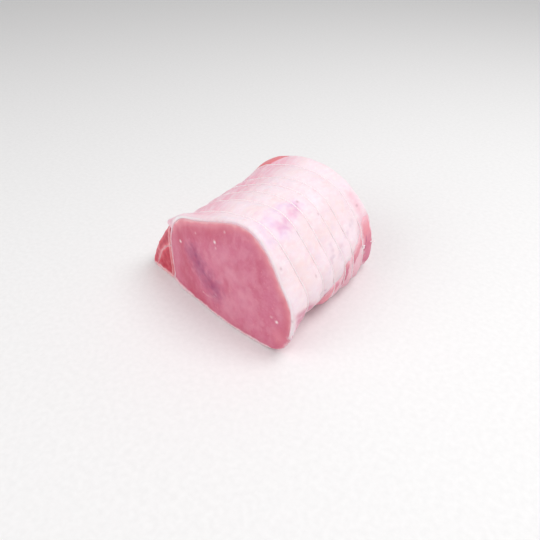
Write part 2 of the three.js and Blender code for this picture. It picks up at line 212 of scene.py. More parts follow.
def refine(piece, wanted, largest):
    """Divides each wanted face until it is no larger than this many square millimetres."""
    only(piece)
    bpy.ops.object.mode_set(mode="EDIT")
    bpy.ops.mesh.select_mode(type="FACE")
    for _ in range(MOST_ROUNDS):
        bpy.ops.mesh.select_all(action="DESELECT")
        mesh = bmesh.from_edit_mesh(piece.data)
        count = 0
        for face in mesh.faces:
            if face.calc_area() > largest * MM * MM and wanted(face):
                face.select = True
                count += 1
        bmesh.update_edit_mesh(piece.data)
        if count == 0:
            break
        bpy.ops.mesh.subdivide(number_cuts=1)
    bpy.ops.object.mode_set(mode="OBJECT")


# %% [markdown]
# ## Relief and colour as numbers
#
# The relief and the colours are worked out for all points of a mesh at once, as arrays, which is
# quick even for a hundred thousand points. A colour mask is an attribute: one number from 0 to 1
# for each point, which the material reads by its name.

# %% Points, normals and masks
def points_of(piece):
    """The points of a piece, in mm."""
    points = np.empty(len(piece.data.vertices) * 3, np.float32)
    piece.data.vertices.foreach_get("co", points)
    return points.reshape(-1, 3).astype(float) / MM


def normals_of(piece):
    normals = np.empty(len(piece.data.vertices) * 3, np.float32)
    piece.data.vertex_normals.foreach_get("vector", normals)
    return normals.reshape(-1, 3).astype(float)


def put_points(piece, points):
    piece.data.vertices.foreach_set("co", (points * MM).astype(np.float32).ravel())
    piece.data.update()


def put_mask(piece, name, values):
    layer = piece.data.attributes.new(name, "FLOAT", "POINT")
    layer.data.foreach_set("value", np.clip(values, 0, 1).astype(np.float32))


# %% [markdown]
# Everything that follows is put together from a few functions of the points. A ramp turns a
# height or a distance into a share from 0 to 1, lumps are smooth noise of a real size, and the
# strongest of several masks wins where they overlap.

# %% Ramps, lumps and cuts
def ramp(values, low, high):
    """0 up to low, 1 from high on, and smooth in between. The two may be swapped."""
    share = np.clip((values - low) / (high - low), 0, 1)
    return share * share * (3 - 2 * share)


def lumps(points, size, seed=0.0):
    """Smooth noise from about -1 to 1, with lumps of the given sizes in mm along x, y and z."""
    return np.array([noise.noise(Vector(p)) for p in points / np.array(size) + seed])


def on_cut(normals):
    """1 on the front and rear cut faces and 0 on the sides."""
    return ramp(np.abs(normals[:, 1]), 0.6, 0.85)


def strongest(*masks):
    return np.max(masks, axis=0)


print("a ramp from 0 to 4:", ramp(np.arange(5), 0, 4).round(2))

# %% [markdown]
# Marks on meat are spots and lines. A spot is what lies near a place, and a line what lies near a
# route from place to place. Both get a soft edge, and noise makes them as uneven as real ones.
# First come the distances that they are made of.

# %% Distances
SIDE_FACING = 0.5          # a point on a side has a normal with less than this along y
CUT_POINT_FACING = 0.8     # and one on a cut face has more than this


def from_solid(points, node):
    """Distance in mm of each point from a solid."""
    return np.array([TREES[node].find_nearest(Vector(p))[3] for p in points * MM]) / MM


def from_route(points, route):
    """Distance in mm of each point from the line through these places."""
    nearest = np.full(len(points), np.inf)
    for start, end in zip(route, route[1:]):
        start = np.array(start, float)
        step = np.array(end, float) - start
        share = np.clip((points - start) @ step / (step @ step), 0, 1)
        away = np.linalg.norm(points - start - share[:, None] * step, axis=1)
        nearest = np.minimum(nearest, away)
    return nearest


def from_points(points, others):
    """Distance in mm of each point from the nearest of some other points."""
    tree = kdtree.KDTree(len(others))
    for i, place in enumerate(others):
        tree.insert(place, i)
    tree.balance()
    return np.array([tree.find(p)[2] for p in points])


def from_sides(points, normals):
    return from_points(points, points[np.abs(normals[:, 1]) < SIDE_FACING])


def from_cuts(points, normals):
    return from_points(points, points[np.abs(normals[:, 1]) > CUT_POINT_FACING])


# %% [markdown]
# A line's edge wobbles by as many millimetres as it is told to, so that it doesn't look drawn.

# %% Spots and lines
def within(away, width, blur):
    """1 inside a mark of this width, 0 outside, and a soft edge of this blur, all in mm."""
    return ramp(away, width / 2 + blur / 2, width / 2 - blur / 2)


def line(points, route, width, blur=1.0, wobble=0.0):
    away = from_route(points, route)
    if wobble:
        away = away + wobble * lumps(points, (2.5, 2.5, 2.5), 31.0)
    return within(away, width, blur)


def lines(points, routes, width, blur=1.0, wobble=0.0):
    return strongest(*(line(points, route, width, blur, wobble) for route in routes))


def spots(points, places, width, blur=1.0):
    distances = [np.linalg.norm(points - np.array(place), axis=1) for place in places]
    return strongest(*(within(away, width, blur) for away in distances))


# %% [markdown]
# ## Where the string lies
#
# Each loop of string lies in one plane. The plane is fitted to the solid of the loop, and the meat
# is pinched in under it.

# %% Planes of the loops
STRINGS = sorted(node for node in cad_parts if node.startswith("string"))


def loop_plane(node):
    """Middle, in mm, and unit normal of the plane that fits a loop best."""
    points = np.array([v.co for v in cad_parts[node].data.vertices]) / MM
    middle = (points.max(0) + points.min(0)) / 2
    columns = np.c_[np.ones(len(points)), points[:, 0], points[:, 2]]
    start, per_x, per_z = np.linalg.lstsq(columns, points[:, 1], rcond=None)[0]
    middle[1] = start + per_x * middle[0] + per_z * middle[2]
    normal = np.array([-per_x, 1, -per_z])
    return middle, normal / np.linalg.norm(normal)


def from_strings(points):
    """Distance in mm of each point from the nearest loop's plane."""
    return np.min([np.abs((points - middle) @ normal) for middle, normal in PLANES.values()], axis=0)


PLANES = {node: loop_plane(node) for node in STRINGS}
for node, (middle, normal) in PLANES.items():
    print(node, "crosses the middle at y =", round(middle[1], 1), "mm")

# %% [markdown]
# ## Materials
#
# All colours are written as the sRGB values that a picture shows, and one function turns them into
# the linear values that Blender counts in. One more function adds a node, with its settings and
# links, so that a material reads as a list of what it is made of.

# %% Colours and nodes
def linear(hex_colour):
    values = [int(hex_colour[i:i + 2], 16) / 255 for i in (0, 2, 4)]
    return [v / 12.92 if v <= 0.04045 else ((v + 0.055) / 1.055) ** 2.4 for v in values] + [1.0]


def new_material(name):
    """An empty material, and a function that adds one node to it."""
    material = bpy.data.materials.new(name)
    material.use_nodes = True
    tree = material.node_tree
    tree.nodes.clear()

    def node(kind, settings=None, **inputs):
        """Adds a node. Base_Color stands for the socket Base Color, and _6 for socket number 6."""
        made = tree.nodes.new("ShaderNode" + kind)
        for key, value in (settings or {}).items():
            setattr(made, key, value)
        for key, value in inputs.items():
            socket = made.inputs[int(key[1:]) if key[1:].isdigit() else key.replace("_", " ")]
            if isinstance(value, bpy.types.NodeSocket):
                tree.links.new(value, socket)
            else:
                socket.default_value = linear(value) if isinstance(value, str) else value
        return made

    return material, node


print("the pink DB7B97 in linear values:", [round(v, 2) for v in linear("DB7B97")])

# %% [markdown]
# Meat is coloured in layers: a base, then tints that each cover it as far as an amount says. The
# amount is a mask, which is read by its name, or noise with lumps of a given size in millimetres.

# %% Grain and layers
def grain(node, size, low, high, most=1.0, detail=3.0):
    """Noise with lumps of these sizes in mm, which runs from 0 to the most between low and high."""
    place = node("TexCoord").outputs["Object"]
    scaled = node("Mapping", None, Vector=place, Scale=[1 / (s * MM) for s in size])
    value = node("TexNoise", None, Vector=scaled.outputs[0], Scale=1.0, Detail=detail).outputs[0]
    return node("MapRange", None, _0=value, _1=low, _2=high, _4=most).outputs[0]


def layered(node, colour, layers):
    """The colour under layers of tint. Each layer is a tint and its amount."""
    for tint, amount in layers:
        colour = node("Mix", {"data_type": "RGBA"}, _0=amount, _6=colour, _7=tint).outputs[2]
    return colour


# %% [markdown]
# Raw lean pork is wet muscle. Its fibres run along the roast, so a cut across shows their ends as
# a fine mottle, and a side shows them as streaks: noise that is stretched along the length gives
# both. Light goes some way into meat and comes out redder, which subsurface scattering does. It is
# kept to a millimetre here, because more of it greys the thin white bands next to the lean. The
# film of juice gives meat a sheen like water's, a little uneven.

# %% Lean meat
JUICE_IOR = 1.36
LEAN_GLOW = dict(
    Subsurface_Weight=0.25, Subsurface_Scale=1.0 * MM,
    Subsurface_Radius=(1.0, 0.42, 0.38))   # how far red, green and blue go in, in proportion
WETTEST = 0.32             # the least roughness
LEAN_GRAIN = [             # tint, size in mm, the noise where it starts and is full, most, detail
    ("deep", (11, 30, 13), 0.42, 0.7, 0.5, 2),
    ("pale", (5.5, 26, 6.5), 0.42, 0.75, 0.48, 2),
    ("deep", (1.8, 12, 1.8), 0.45, 0.75, 0.2, 3),
    ("rim", (1.4, 8, 1.7), 0.62, 0.76, 0.3, 2),
]
LEAN_MARKS = ("pale", "deep", "rim", "bruise", "sinew")


def lean_material(name, base, **tints):
    """Wet lean pork, from the tints deep, pale, rim, bruise (with painted shade in creases), sinew
    and veil.
    """
    material, node = new_material(name)
    marks = {tint: node("Attribute", {"attribute_name": tint}).outputs["Fac"]
             for tint in (*LEAN_MARKS, "veil")}
    layers = [(tints[tint], grain(node, *settings)) for tint, *settings in LEAN_GRAIN]
    layers += [(tints[tint], marks[tint]) for tint in LEAN_MARKS]
    gaps = grain(node, (3, 14, 3), 0.2, 0.4, 1.0, 3)
    torn = node("Math", {"operation": "MULTIPLY"}, _0=marks["veil"], _1=gaps)
    colour = layered(node, base, layers + [(tints["veil"], torn.outputs[0])])
    height = grain(node, (1.1, 12, 1.1), 0.3, 0.7, 1.0, 4)
    bump = node("Bump", None, Strength=0.3, Distance=0.15 * MM, Height=height)
    drier = grain(node, (3, 10, 3), 0.3, 0.7, 0.2)
    rough = node("Math", {"operation": "ADD"}, _0=drier, _1=WETTEST)
    surface = node("BsdfPrincipled", None, Base_Color=colour, Roughness=rough.outputs[0],
                   IOR=JUICE_IOR, Normal=bump.outputs[0], **LEAN_GLOW)
    node("OutputMaterial", None, Surface=surface.outputs[0])
    return material


eye_lean = lean_material(
    "pork_lean", "DB7B97", deep="C84F6C", pale="EBA3B6", rim="F8A4AE",
    bruise="963B72", sinew="FCE0E4", veil="F6C9D4")
side_lean = lean_material(
    "pork_dark_lean", "DE5265", deep="C53A4F", pale="E98893", rim="F0A0A8",
    bruise="A9506A", sinew="FADADC", veil="F4C6CE")
flap_lean = lean_material(
    "pork_outer_lean", "DE6473", deep="C2455A", pale="EE9AA3", rim="F4AEB5",
    bruise="B86478", sinew="FBDADD", veil="F8D2D8")
print("nodes in a lean material:", len(eye_lean.node_tree.nodes))

# %% [markdown]
# Back fat is smooth, white and slightly see-through: where it is thin, the lean under it shows as
# pink, old bruises show as lilac and magenta, and a few vessels leave small brown or red marks.
# Its lobules give it a soft unevenness, and at the rear rim the lean lies bare.

# %% Back fat
FAT_GLOW = dict(
    Subsurface_Weight=0.18, Subsurface_Scale=0.5 * MM, Subsurface_Radius=(1.0, 0.66, 0.62))
FAT_BASE = "FBE5ED"
FAT_GRAIN = [              # as for the lean
    ("FBE2E4", (9, 13, 9), 0.42, 0.65, 0.7),
    ("EFDAEA", (6, 8, 6), 0.52, 0.75, 0.4),
    ("F5C6D2", (3.5, 6, 3.5), 0.5, 0.8, 0.3),
    ("FFF6F8", (2.5, 3.5, 2.5), 0.5, 0.75, 0.4),
]
FAT_MARKS = {              # the mask and the tint of each layer, from the lowest up
    "peach": "FBDCD8", "blush": "F2B0C3", "lilac": "EBCFEA", "stain": "DF98C4", "shade": "D3B4C6",
    "thin": "DC8FA8", "white": "FFF6F8", "vessel": "B98A94", "bare": "EA7A82",
}

back_fat, node = new_material("pork_back_fat")
marks = {name: node("Attribute", {"attribute_name": name}).outputs["Fac"] for name in FAT_MARKS}
streaks = grain(node, (2.8, 13, 2.8), 0.08, 0.62, 1.0)
streaked = node("Math", {"operation": "MULTIPLY"}, _0=marks["blush"], _1=streaks)
marks["blush"] = streaked.outputs[0]
layers = [(tint, grain(node, *settings)) for tint, *settings in FAT_GRAIN]
layers += [(tint, marks[name]) for name, tint in FAT_MARKS.items()]
height = grain(node, (1.5, 2.6, 1.5), 0.25, 0.75)
bump = node("Bump", None, Strength=0.3, Distance=0.2 * MM, Height=height)
surface = node("BsdfPrincipled", None, Base_Color=layered(node, FAT_BASE, layers), Roughness=0.45,
               IOR=1.4, Normal=bump.outputs[0], **FAT_GLOW)
node("OutputMaterial", None, Surface=surface.outputs[0])
print("layers of the fat's colour:", len(layers))

# %% [markdown]
# The string is bleached cotton, damp from the meat, so it is nearly as white as the fat and
# hardly shines. Its single fibres are far too fine to show, so the noise stands for small tufts.

# %% Cotton string
COTTON_GLOW = dict(
    Subsurface_Weight=0.2, Subsurface_Scale=0.3 * MM, Subsurface_Radius=(1.0, 0.9, 0.85))
TUFT = (0.5, 0.5, 0.5)     # in mm
FUZZ = (0.25, 0.25, 0.25)

cotton, node = new_material("cotton_string")
colour = layered(node, "FFF7F8", [("FBE4E9", grain(node, TUFT, 0.35, 0.7, 1.0, 2))])
height = grain(node, FUZZ, 0.3, 0.7, 1.0, 2)
bump = node("Bump", None, Strength=0.3, Distance=0.05 * MM, Height=height)
surface = node("BsdfPrincipled", None, Base_Color=colour, Roughness=0.75,
               Normal=bump.outputs[0], **COTTON_GLOW)
node("OutputMaterial", None, Surface=surface.outputs[0])
print("materials:", ", ".join(m.name for m in (eye_lean, side_lean, flap_lean, back_fat, cotton)))

# %% [markdown]
# ## The meat
#
# On the real roast the tissues have grown together. Each solid stops a third of a millimetre short
# of the next, so each piece is swollen until it meets its neighbours. The amounts differ, so
# that no two cut faces lie in the same plane. The same step adds the relief, presses the string's
# grooves in and keeps everything above the floor.
#
# Some lumps and dents are too large for noise, such as the hollows of the trimmed side and the
# spread foot of the front cut. They are listed one by one. They move all pieces by the same
# amount at the same place, so that neighbours stay together.

# %% Swell, relief and grooves
GROOVE = 0.35              # how much deeper the meat is right under a string, in mm
GROOVE_WIDTH = 1.3
LUMPS = [                  # place, size, and how far the meat is moved there, all in mm
    ((60, -20, 9), (9, 5, 9), (1.7, 0, 0)),
    ((63, 11, 12), (9, 9, 8), (2.6, 0, 0)),
    ((58, 4, 4), (9, 4.5, 7), (1.4, 0, 0)),
    ((59, 30, 6), (10, 12, 9), (2.0, 0, 0)),
    ((62, -33, 6), (12, 8, 13), (-5.0, 0, 0)),
    ((64, -46, 8), (12, 9, 12), (-3.6, 0, 0)),
    ((-60, -44, 0), (9, 8, 3.5), (0, -2.0, 0)),
    ((-45, -46, 0), (9, 7, 3), (0, -1.4, 0)),
    ((-27, -51, 0), (12, 7, 3), (0, -1.8, 0)),
    ((-29, -46, 52), (9, 9, 9), (0, 0, 1.4)),
]


def lumps_and_dents(points):
    moves = np.zeros_like(points)
    for place, size, move in LUMPS:
        near = np.exp(-(((points - np.array(place)) / np.array(size)) ** 2).sum(axis=1))
        moves += near[:, None] * np.array(move)
    return moves


def shape(piece, swell, relief):
    points, normals = points_of(piece), normals_of(piece)
    strings = from_strings(points)
    groove = GROOVE * np.exp(-((strings / GROOVE_WIDTH) ** 2)) * (1 - on_cut(normals))
    points += normals * (swell + relief(points, normals, strings) - groove)[:, None]
    points += lumps_and_dents(points)
    points[:, 2] = np.maximum(points[:, 2], 0)
    put_points(piece, points)
    return points, normals_of(piece)


# %% [markdown]
# Lean meat shows its bundles of fibres as soft ridges along the sides, and is nearly flat on a
# cut. Where a cut face ends along the floor, the skin of the underside shows as a thin white edge.
# A finished piece gets its material, rides on the roast's one body and replaces its solid.

# %% What the muscles share
BUNDLE_HEIGHT = 0.3        # in mm
CUT_UNEVENNESS = 0.08


def fibre_relief(points, normals, strings):
    """Soft lengthwise bundles on the sides, and a nearly flat cut."""
    bundles = (1 - on_cut(normals)) * BUNDLE_HEIGHT * lumps(points, (3, 22, 3), 5.0)
    return bundles + CUT_UNEVENNESS * lumps(points, (7, 9, 7), 9.0)


def low_skin(points, normals):
    """1 on the thin white skin that edges the cut faces along the floor."""
    height = points[:, 2] + 0.7 * lumps(points, (3, 3, 3), 33.0)
    return ramp(np.abs(normals[:, 1]), 0.1, 0.4) * ramp(height, 3.0, 1.7)


def finish(piece, node, material):
    piece.data.materials.append(material)
    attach(piece, "root")
    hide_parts(node)
    print(piece.name, "has", len(piece.data.polygons), "faces")


# %% [markdown]
# The large muscle is the pink cut face that is seen first. It is palest in the middle, redder at
# its right edge and in its left part, and has a salmon rim under the fat. A purple bruise crosses
# its left half, and a few white specks and threads of marbling lie in it. The places of these
# marks are in millimetres, on the surface of the muscle.

# %% The large muscle: marks of the cut face
SPECKS = [(-29.1, -47.3, 34.6), (4.5, -51.9, 50.8), (54.3, -60.3, 22.9)]
SMALL_SPECKS = [(5.7, -52.7, 47.5), (12.1, -51.2, 60.4), (-13, -49, 48.3), (50.5, -60.5, 24.5)]
FLECKS = [(-3, -54, 26), (-1.2, -54.4, 24.8), (1.1, -54.9, 24.1), (3.3, -55.4, 23.3),
          (1.6, -54.8, 26.6)]
THREAD = [(-5.1, -55.7, 10.8), (-1.3, -56.4, 10.6), (2.4, -57, 11.2), (6, -57.3, 14),
          (8.2, -57.2, 17.3)]
BRUISE = [(-15, -51, 33), (-11.5, -52, 30), (-7.5, -53, 27), (-3, -54.2, 24.3), (2, -55.5, 21.8),
          (6.5, -56.5, 19)]
DARK_BRUISE = [(-12.5, -51.5, 33.5), (-9.5, -52.5, 29.5), (-4.5, -53.8, 26), (4.2, -56, 19.8)]
PALE_MIDDLE = [(12, -54, 40), (26, -56, 34), (32, -57.5, 26), (20, -58, 12)]
RED_RIGHT = [(59, -59.5, 42), (61.5, -60, 38), (61.5, -60.5, 31), (61.6, -61, 24.9),
             (58.7, -61.5, 17.3)]
RED_TIP = (57, -61.8, 13)
DEEP_LEFT = [(-30, -47.5, 36), (-24, -50.5, 20), (-27, -50.3, 13), (-21, -52.4, 9), (-6, -55, 6)]
print("white marks:", len(SPECKS) + len(SMALL_SPECKS) + len(FLECKS))

# %% [markdown]
# On its lower right side, where the fat has been trimmed off, thin pale membrane and strips of
# bare lean take turns, and a few creases between them are darkened with painted shade.

# %% The large muscle: marks of the trimmed side
LEAN_STRIPS = [            # the route of each strip, and its width
    ([(61, -23, 8), (62.5, -21.5, 15), (64, -20.5, 21), (64.5, -14, 21)], 7.5),
    ([(64.2, -3, 18), (64.4, -2.9, 24), (64.8, -2.6, 31)], 4.5),
    ([(64.3, 8.5, 28), (64, 12.3, 32), (62.5, 19, 33)], 7.0),
    ([(57, 32.5, 40.4), (59.5, 32.5, 34), (60.6, 33, 29), (61.8, 33, 22), (61.2, 33, 14)], 9.0),
]
# Painted shade: dark lines along the creases of the trimmed side.
CREASE_SHADE_ROUTES = [
    [(61.5, 19, 24), (62.5, 11, 18), (63.6, 3, 16)],
    [(61.5, 27, 27), (61.4, 27.5, 20), (60.5, 24, 12)],
    [(60.6, 30.5, 31), (61.6, 29.5, 24)],
]
# Painted light: a pale salmon spot that brightens a strip of lean which faces down, away from the
# lamps.
PAINTED_LIGHT_SPOT = (63, -20, 17)


def lean_strips(points):
    masks = [line(points, route, width, blur=0.9, wobble=0.9) for route, width in LEAN_STRIPS]
    return strongest(*masks)


# %% [markdown]
# The muscle is rounded, divided where it shows, and swollen. The strips of lean between the
# membranes stand up a little from them, as the real ones do.

# %% The large muscle
EYE_SWELL = 0.3            # in mm
STRIP_HEIGHT = 0.45
TRIMMED_UNEVENNESS = 0.35


def eye_relief(points, normals, strings):
    bare = ramp(points[:, 0], 50, 58) * (1 - on_cut(normals))
    ridges = STRIP_HEIGHT * lean_strips(points)
    ridges = ridges + TRIMMED_UNEVENNESS * lumps(points, (3, 5, 3), 21.0)
    return fibre_relief(points, normals, strings) + bare * ridges


eye = rounded_copy("eye_muscle", "lean_eye")
refine(eye, on_a_cut, largest=0.6)
refine(eye, free_side("eye_muscle"), largest=1.2)
points, normals = shape(eye, EYE_SWELL, eye_relief)
print("the large muscle spans, mm:", np.ptp(points, axis=0).round(1))

# %% [markdown]
# Its masks come next. Each is a sum of spots, lines and ramps, limited to the cut faces or to the
# sides. The number before a part says how strong it is, and all others are millimetres.

# %% The large muscle: pinks and reds
RIM_FADE = 3.6             # in mm, how fast the salmon rim fades away from the fat
RIM_FALL = 1.4             # above 1, it stays strong at first and then falls faster

x, z = points[:, 0], points[:, 2]
cut = on_cut(normals)
under_fat = from_solid(points, "fat_cap") + lumps(points, (4, 4, 4))
to_side = from_sides(points, normals)
uneven = lumps(points, (5, 5, 4), 12.0)
upper = np.maximum(ramp(z, 30, 46), ramp(x, 30, 45) * ramp(z, 14, 34))

rim = 0.9 * cut * upper * np.exp(-(np.maximum(under_fat, 0) / RIM_FADE) ** RIM_FALL)
red_tip = 0.35 * cut * spots(points, [RED_TIP], width=10, blur=10)
# On the sides the rim tint goes on the upper right, and on a spot of painted light lower down.
salmon_and_painted_light = ramp(z, 24, 36) * ramp(x, 50, 56) + spots(points, [PAINTED_LIGHT_SPOT], width=14, blur=9)
put_mask(eye, "rim", rim + red_tip + 0.7 * (1 - cut) * salmon_and_painted_light)

right = 0.5 * line(points, RED_RIGHT, width=6, blur=9)
left = 0.75 * line(points, DEEP_LEFT, width=9, blur=14)
below_rim = 0.45 * (ramp(under_fat, 2, 5) * ramp(under_fat, 16, 8) * ramp(x, 25, 5) * upper)
put_mask(eye, "deep", cut * (right + left + below_rim + 0.3 * ramp(to_side, 8, 1)))
pale_middle = line(points, PALE_MIDDLE, width=14, blur=22)
put_mask(eye, "pale", cut * 0.6 * pale_middle * ramp(uneven, -1.2, 0.6))
print("share of the points on the cuts:", round(cut.mean(), 2))

# %% [markdown]
# The bruise is a wide faint band with a few darker spots in it. White is laid over the reds last:
# the specks and the thread, the pale edge under the fat, the lower right tip and the low skin.

# %% The large muscle: bruise, painted crease shade, white and membrane
bruise = 0.55 * line(points, BRUISE, width=13, blur=13, wobble=3.0) * ramp(uneven, -1.1, 0.1)
dark = 0.85 * spots(points, DARK_BRUISE, width=5, blur=7) * ramp(uneven, -1.2, -0.2)
# Painted shade in the creases of the trimmed side goes into the bruise mask.
crease_shade = lines(points, CREASE_SHADE_ROUTES, width=0.8, blur=0.8, wobble=0.4)
put_mask(eye, "bruise", strongest(cut * strongest(bruise, dark), 0.8 * crease_shade))

flecks = 0.55 * spots(points, FLECKS, width=0.9, blur=1.1)
thread = 0.4 * line(points, THREAD, width=0.8, blur=1.0, wobble=0.4)
specks = spots(points, SPECKS, width=1.9, blur=1.2)
small_specks = 0.6 * spots(points, SMALL_SPECKS, width=1.2, blur=1.4)
edge = 0.35 * cut * upper * ramp(under_fat, 1.6, 0.3)
tip = 0.5 * cut * ramp(to_side, 1.8, 0.4) * ramp(x, 50, 57) * ramp(z, 24, 15)
skin = 0.8 * low_skin(points, normals)
put_mask(eye, "sinew", strongest(flecks, thread, specks, small_specks, edge, tip, skin))

strips = lean_strips(points) * (1 - 0.5 * ramp(under_fat, 3, 0.4)) * (1 - 0.6 * ramp(z, 36, 43))
membrane = 0.9 - 0.2 * ramp(z, 24, 14) - 0.88 * strips
# The membrane is left off along the creases, so their painted shade stays dark.
put_mask(eye, "veil", (1 - cut) * (1 - crease_shade) * membrane)
finish(eye, "eye_muscle", eye_lean)

# %% [markdown]
# The small muscle is the darkest of all, and the flap outside it is thin and paler. A white
# membrane runs between them, the flap's outer edge has a pale rim too, and its front cut has a
# deep red slit. The two are made alike, so one loop makes both.

# %% The small muscle and the flap
NEIGHBOUR = {"side_muscle": "flap_muscle", "flap_muscle": "side_muscle"}
FLAP_SLIT = [(-46.5, -43.5, 27), (-50.5, -43.2, 22.7), (-53.5, -43.1, 18.7)]
THREAD_DEPTH = 3.4         # in mm from the large muscle, a white thread runs along it

outer_pieces = []
for node, name, material, slot, swell in (
    ("side_muscle", "lean_side", side_lean, "dark_lean", 0.24),
    ("flap_muscle", "lean_flap", flap_lean, "outer_lean", 0.18),
):
    piece = rounded_copy(node, name)
    refine(piece, on_a_cut, largest=0.4)
    refine(piece, free_side(node), largest=0.8)
    points, normals = shape(piece, swell, fibre_relief)
    cut = on_cut(normals)
    to_next = np.minimum(from_solid(points, "fat_cap"), from_solid(points, NEIGHBOUR[node]))
    to_side = from_sides(points, normals)
    uneven = lumps(points, (3, 3, 3), 8.0)

    to_rim = np.minimum(to_next, to_side + 0.5) + 0.7 * uneven
    put_mask(piece, "rim", 0.8 * cut * ramp(to_rim, 1.8, 0.3))
    seam = 0.6 * cut * ramp(np.minimum(to_next, to_side) + 0.35 * uneven, 0.7, 0.2)
    to_thread = np.abs(from_solid(points, "eye_muscle") - THREAD_DEPTH)
    thread = 0.5 * cut * ramp(to_thread, 0.7, 0.1)
    put_mask(piece, "sinew", strongest(seam, thread, 0.7 * low_skin(points, normals)))
    slit = 0.8 * line(points, FLAP_SLIT, width=1.3, blur=1.2)
    inner = ramp(to_side, 1, 3.5) * ramp(uneven, -0.7, 0.3)
    put_mask(piece, "deep", cut * np.maximum(inner, slit))
    put_mask(piece, "pale", 0.4 * ramp(lumps(points, (5, 20, 5), 3.0), 0.1, 0.6))
    put_mask(piece, "bruise", np.zeros(len(points)))
    put_mask(piece, "veil", (1 - cut) * 0.9 * ramp(lumps(points, (9, 26, 9), 6.0), -0.7, 0.3))
    finish(piece, node, material)
    outer_pieces.append(piece)

# %% [markdown]
# The fat cap is whitest on its cut edge and along the ridge. Its left shoulder is pinker, because
# the lean shows through. A lilac and magenta bruise lies beside the ridge near the front, and at
# the front the lower right edge is so thin that it looks purple.

# %% The fat cap: places of its marks
MAGENTA = [
    [(39.6, -38.7, 67.6), (41.2, -33.5, 66.5), (38.5, -30.5, 68)],
    [(38.7, -24, 68.1), (36.6, -17.8, 68.1)],
]
LILAC = [
    [(27.2, -37.1, 70.6), (32.5, -38.5, 70), (37, -40.5, 68.5)],
    [(31, -30, 70), (30.4, -23.8, 70.1), (35.6, -14.4, 69.3)],
    [(31, -44, 69.3), (36.1, -51, 67.6), (42.2, -51, 65.8)],
    [(41.9, -48, 65.9), (43, -39, 65.4)],
]
REAR_BLUSH = [(45.4, 32.3, 54.8), (49.7, 32, 50.9), (53.3, 31.2, 46.7), (56, 31, 42)]
PEACH = [(58.4, -48.1, 45.3), (55.1, -38.6, 51.3), (52.9, -22.4, 53.5), (50.9, -10.8, 56.5),
         (45, 15, 59)]
SHADES = [
    [(58.5, -11.1, 46.5), (60.8, -12.2, 43.9), (61.5, -15.2, 41), (62.7, -21.5, 38.5)],
    [(60, -5, 43.5), (62.8, -8, 40)],
    [(57.9, 4.3, 45.2), (57, 11.7, 46.6), (54, 19, 48)],
]
SMALL_VESSELS = [(61.7, -34, 41.6), (52.3, -54.5, 55.5), (45.4, -8, 62.4), (42.2, 24.4, 59.1),
                 (50.1, 31.1, 50), (50.4, 32, 50.2), (34.8, -14, 69.6), (64.2, -60.8, 29.4)]
# Routes of painted shade: the dark inside of two short slits, which are not cut into the mesh.
SLIT_SHADE_ROUTES = [
    [(64.7, -33, 28.5), (63.8, -28, 27), (64, -25, 26.2)],
    [(35.6, -16.5, 68.6), (38.6, -17.6, 67.4)],
]
THIN_TOP = ([-62, -40], [34, 27])  # at the first and last y, the thin fat reaches up to these z
BARE_FROM = ([-40, -23, -12.3, -8], [41, 36.5, 45.4, 52])  # at each x, the lean is bare from y on
print("small vessels:", len(SMALL_VESSELS))

# %% [markdown]
# The fat's lower right edge was trimmed by hand, so it runs out thin and ragged over the lean.
# The edge is found as the lowest fat at each step along the roast. Near it, the points are drawn
# towards the lean, which thins the fat, and moved up or down by noise.

# %% The fat's trimmed edge
EDGE_REACH = 6.0           # in mm, how far above its edge the fat starts to thin
EDGE_THICKNESS = 0.35      # of the full thickness, right at the edge
EDGE_RAGGED = 1.3          # in mm
EDGE_STEP = 2.0            # in mm along the roast, and how far fat is looked for at each step
EDGE_WINDOW = 2.5
RIGHT_HALF = 40            # the edge lies to the right of this x
HIGHEST_EDGE = 40          # and below this z
NO_EDGE = 50               # a height in mm that stands for far above it


def above_edge(points):
    """Height in mm of each point above the fat's lower right edge."""
    right = points[:, 0] > RIGHT_HALF
    steps = np.arange(-64, 64, EDGE_STEP)
    near = [right & (np.abs(points[:, 1] - step) < EDGE_WINDOW) for step in steps]
    lowest = [points[here, 2].min(initial=HIGHEST_EDGE) for here in near]
    return np.where(right, points[:, 2] - np.interp(points[:, 1], steps, lowest), NO_EDGE)


def thin_the_edge(piece):
    points = points_of(piece)
    height = above_edge(points)
    for i in np.flatnonzero(height < EDGE_REACH):
        lean_at = np.array(TREES["eye_muscle"].find_nearest(Vector(points[i] * MM))[0]) / MM
        share = ramp(height[i], 0, EDGE_REACH)
        thickness = EDGE_THICKNESS + (1 - EDGE_THICKNESS) * share
        points[i] = lean_at + (points[i] - lean_at) * thickness
    along = points * (1, 1, 0)
    ragged = lumps(along, (50, 5, 1), 14.0) + 0.6 * lumps(along, (50, 2.2, 1), 17.0)
    points[:, 2] += EDGE_RAGGED * ragged * ramp(height, EDGE_REACH, 0)
    put_points(piece, points)


# %% [markdown]
# Fat is softer than lean, so it draws back a little behind the knife and its cut edge is round.
# At the front left its corner juts out over the small muscle.

# %% The fat's cut edges
CUT_REACH = 3.5            # in mm, how far behind a cut face the fat gives way
CUT_ROUNDING = 1.7         # in mm, how far its outer edge draws back
CORNER = (-42.5, -42.5, 41)
CORNER_MOVE = np.array((-2.8, -1.1, -1.3))


def round_the_cut(piece):
    points, normals = points_of(piece), normals_of(piece)
    outer = ramp(from_solid(points, "eye_muscle"), 0.4, 2.6)
    near = ramp(from_cuts(points, normals), CUT_REACH, 0)
    back = (CUT_ROUNDING + 0.3 * lumps(points, (4, 4, 4), 41.0)) * outer * near
    points[:, 1] -= np.sign(points[:, 1]) * back
    corner = outer * spots(points, [CORNER], width=6, blur=6)
    points += corner[:, None] * CORNER_MOVE
    put_points(piece, points)


# %% [markdown]
# The string gathers the fat into small puckers, which are deeper on the loose left shoulder. With
# them come soft lumps and lengthwise folds.

